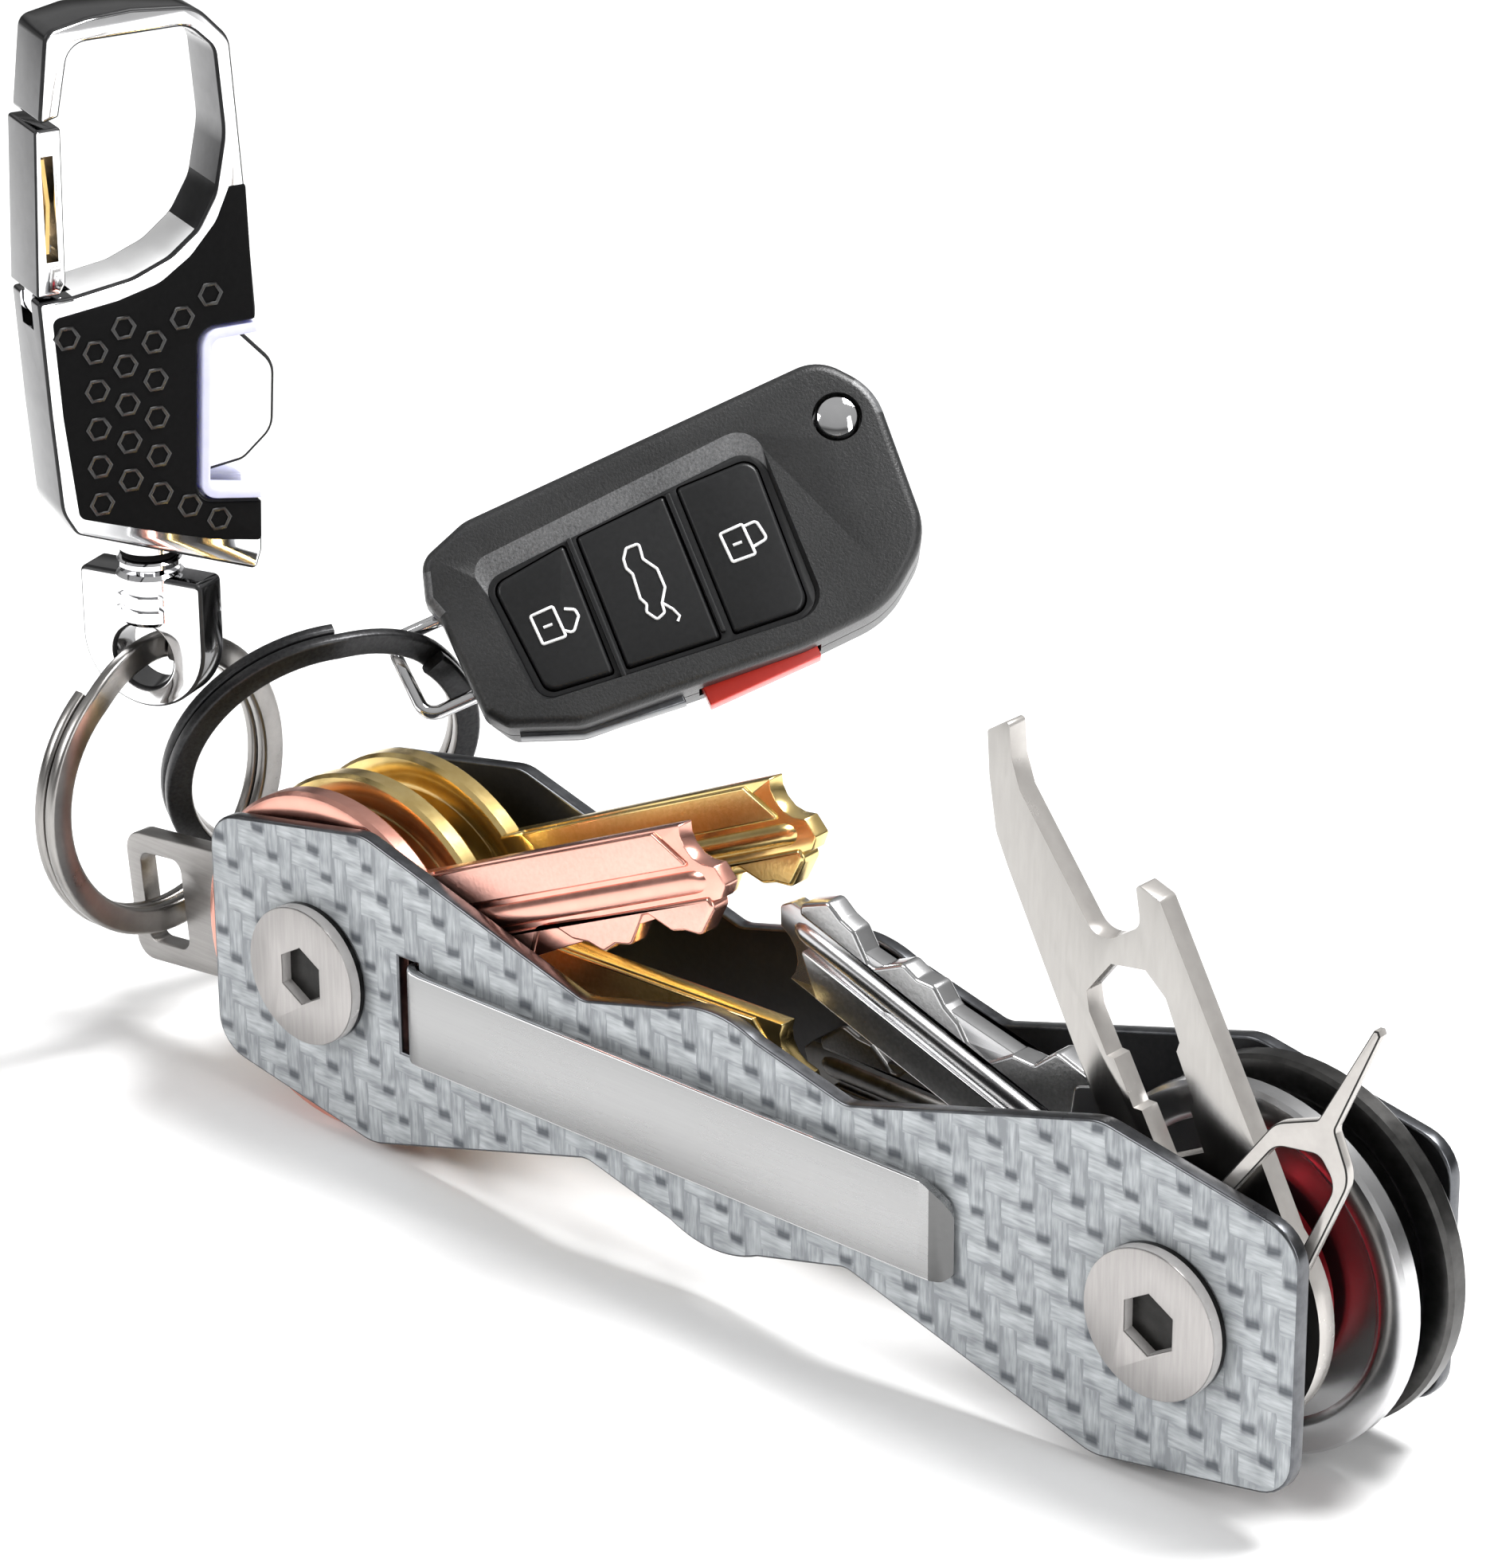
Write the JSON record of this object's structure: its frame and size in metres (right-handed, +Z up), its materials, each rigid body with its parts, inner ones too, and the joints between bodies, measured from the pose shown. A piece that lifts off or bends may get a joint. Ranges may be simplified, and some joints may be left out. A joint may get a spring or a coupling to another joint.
{
  "type": "key organiser",
  "caption": "Folding key organiser: keys and tools fan out on screws between waisted plates, with a clip and a ring chain carrying a carabiner and a remote key fob.",
  "frame": {"origin": "centre of the bounding box's footprint, at its lowest point", "axes": "+X along the plates from the chain end to the multitool end, -Y out of the front plate with the pocket clip, +Z up"},
  "size_m": [0.1156, 0.0632, 0.0788],
  "materials": {
    "black_anodised": "black anodised",
    "black_rubber": "matte",
    "board_green": "solder mask",
    "brushed_steel": "brushed",
    "button_rubber": "smooth",
    "carbon_fibre": "twill carbon laminate, satin clear coat",
    "case_plastic": "fine grain",
    "chrome": "mirror plated",
    "dark_steel": "black oxide",
    "gold": "polished brass",
    "gunmetal": "dark satin",
    "lavender_plastic": "translucent satin",
    "nickel": "polished nickel",
    "panic_red": "satin",
    "polished_steel": "polished",
    "red_anodised": "red anodised",
    "rose_gold": "rose-coloured plating",
    "satin_steel": "satin",
    "silver": "nickel silver, polished"
  },
  "bodies": {
    "organiser": {"front_plate": "carbon_fibre", "rear_plate": "gunmetal", "pocket_clip": "polished_steel", "left_screw": "brushed_steel", "right_screw": "brushed_steel", "left_post": "brushed_steel", "right_post": "brushed_steel", "left_middle_spacer": "black_anodised", "left_rear_spacer": "black_anodised", "right_front_washer": "black_anodised", "right_middle_spacer": "black_anodised", "right_rear_washer": "black_anodised", "red_washer": "red_anodised"},
    "rose_key_body": {"rose_key": "rose_gold"},
    "gold_key_front_body": {"gold_key_front": "gold"},
    "gold_key_rear_body": {"gold_key_rear": "gold"},
    "silver_key_body": {"silver_key": "silver"},
    "dark_key_body": {"dark_key": "dark_steel"},
    "multitool_body": {"multitool": "nickel"},
    "sim_pin_body": {"sim_pin": "nickel"},
    "bracket_body": {"loop_bracket": "satin_steel"},
    "carabiner_ring_body": {"carabiner_ring": "satin_steel"},
    "yoke_body": {"swivel_yoke": "chrome"},
    "carabiner_body": {"carabiner_frame": "chrome", "front_grip_inlay": "black_rubber", "rear_grip_inlay": "black_rubber", "front_notch_liner": "lavender_plastic", "rear_notch_liner": "lavender_plastic", "gate_pin": "satin_steel", "swivel_pin": "chrome"},
    "gate_body": {"carabiner_gate": "chrome", "gate_spring": "gold"},
    "fob_ring_body": {"fob_ring": "dark_steel"},
    "fob_body": {"fob_upper_shell": "case_plastic", "fob_lower_shell": "case_plastic", "fob_edge_strip": "satin_steel", "circuit_board": "board_green", "coin_cell": "satin_steel", "fob_wire_loop": "chrome", "fob_pivot": "satin_steel", "flip_spring": "satin_steel"},
    "fob_blade_body": {"fob_blade": "dark_steel"},
    "unlock_button_body": {"unlock_button": "button_rubber"},
    "boot_button_body": {"boot_button": "button_rubber"},
    "lock_button_body": {"lock_button": "button_rubber"},
    "panic_button_body": {"panic_button": "panic_red"},
    "release_button_body": {"release_button": "chrome"}
  },
  "joints": [
    {"name": "rose_key_pivot", "type": "hinge", "parent": "organiser", "child": "rose_key_body", "pos_m": [-0.03261, -0.02421, 0.01275], "axis": [0, -1, 0], "range_deg": [-24, 66]},
    {"name": "gold_key_front_pivot", "type": "hinge", "parent": "organiser", "child": "gold_key_front_body", "pos_m": [-0.03261, -0.02421, 0.01275], "axis": [0, -1, 0], "range_deg": [-1.5, 88]},
    {"name": "gold_key_rear_pivot", "type": "hinge", "parent": "organiser", "child": "gold_key_rear_body", "pos_m": [-0.03261, -0.02421, 0.01275], "axis": [0, -1, 0], "range_deg": [-24.5, 65]},
    {"name": "silver_key_pivot", "type": "hinge", "parent": "organiser", "child": "silver_key_body", "pos_m": [0.04339, -0.02421, 0.01275], "axis": [0, -1, 0], "range_deg": [-160, 18]},
    {"name": "dark_key_pivot", "type": "hinge", "parent": "organiser", "child": "dark_key_body", "pos_m": [0.04339, -0.02421, 0.01275], "axis": [0, -1, 0], "range_deg": [-178, 1]},
    {"name": "multitool_pivot", "type": "hinge", "parent": "organiser", "child": "multitool_body", "pos_m": [0.04339, -0.02421, 0.01275], "axis": [0, -1, 0], "range_deg": [-117, 62]},
    {"name": "sim_pin_pivot", "type": "hinge", "parent": "organiser", "child": "sim_pin_body", "pos_m": [0.04339, -0.02421, 0.01275], "axis": [0, -1, 0], "range_deg": [-57, 122]},
    {"name": "bracket_pivot", "type": "hinge", "parent": "organiser", "child": "bracket_body", "pos_m": [-0.03261, -0.02421, 0.01275], "axis": [0, -1, 0], "range_deg": [-10, 20]},
    {"name": "carabiner_ring_pivot", "type": "hinge", "parent": "bracket_body", "child": "carabiner_ring_body", "pos_m": [-0.05251, -0.02021, 0.00985], "axis": [0, -1, 0], "range_deg": [-12, 25]},
    {"name": "yoke_pivot", "type": "hinge", "parent": "carabiner_ring_body", "child": "yoke_body", "pos_m": [-0.05251, -0.02021, 0.03065], "axis": [0, -1, 0], "range_deg": [-15, 15]},
    {"name": "swivel", "type": "hinge", "parent": "yoke_body", "child": "carabiner_body", "pos_m": [-0.05251, -0.02021, 0.03725], "axis": [0, 0, 1], "continuous": true},
    {"name": "gate_hinge", "type": "hinge", "parent": "carabiner_body", "child": "gate_body", "pos_m": [-0.05487, -0.02669, 0.05815], "axis": [-0.9397, 0.342, 0], "range_deg": [0, 20], "stiffness_Nm_per_rad": 0.02},
    {"name": "fob_ring_pivot", "type": "hinge", "parent": "carabiner_ring_body", "child": "fob_ring_body", "pos_m": [-0.05251, -0.00997, 0.02206], "axis": [0.3296, -0.1565, 0.9311], "range_deg": [-6, 8]},
    {"name": "fob_pivot_on_ring", "type": "hinge", "parent": "fob_ring_body", "child": "fob_body", "pos_m": [-0.04376, -0.00022, 0.02579], "axis": [-0.0326, -0.7108, 0.7027], "range_deg": [-8, 8]},
    {"name": "blade_pivot", "type": "hinge", "parent": "fob_body", "child": "fob_blade_body", "pos_m": [-0.02823, 0.02669, 0.04058], "axis": [-0.5612, 0.6233, -0.5446], "range_deg": [0, 180]},
    {"name": "unlock_press", "type": "slide", "parent": "fob_body", "child": "unlock_button_body", "axis": [-0.5612, 0.6233, -0.5446], "range_m": [0, 0.0005], "stiffness_N_per_m": 400},
    {"name": "boot_press", "type": "slide", "parent": "fob_body", "child": "boot_button_body", "axis": [-0.5612, 0.6233, -0.5446], "range_m": [0, 0.0005], "stiffness_N_per_m": 400},
    {"name": "lock_press", "type": "slide", "parent": "fob_body", "child": "lock_button_body", "axis": [-0.5612, 0.6233, -0.5446], "range_m": [0, 0.0005], "stiffness_N_per_m": 400},
    {"name": "panic_press", "type": "slide", "parent": "fob_body", "child": "panic_button_body", "axis": [-0.6389, 0.0922, 0.7638], "range_m": [0, 0.0004], "stiffness_N_per_m": 400},
    {"name": "release_press", "type": "slide", "parent": "fob_body", "child": "release_button_body", "axis": [-0.5612, 0.6233, -0.5446], "range_m": [0, 0.0004], "stiffness_N_per_m": 500}
  ]
}
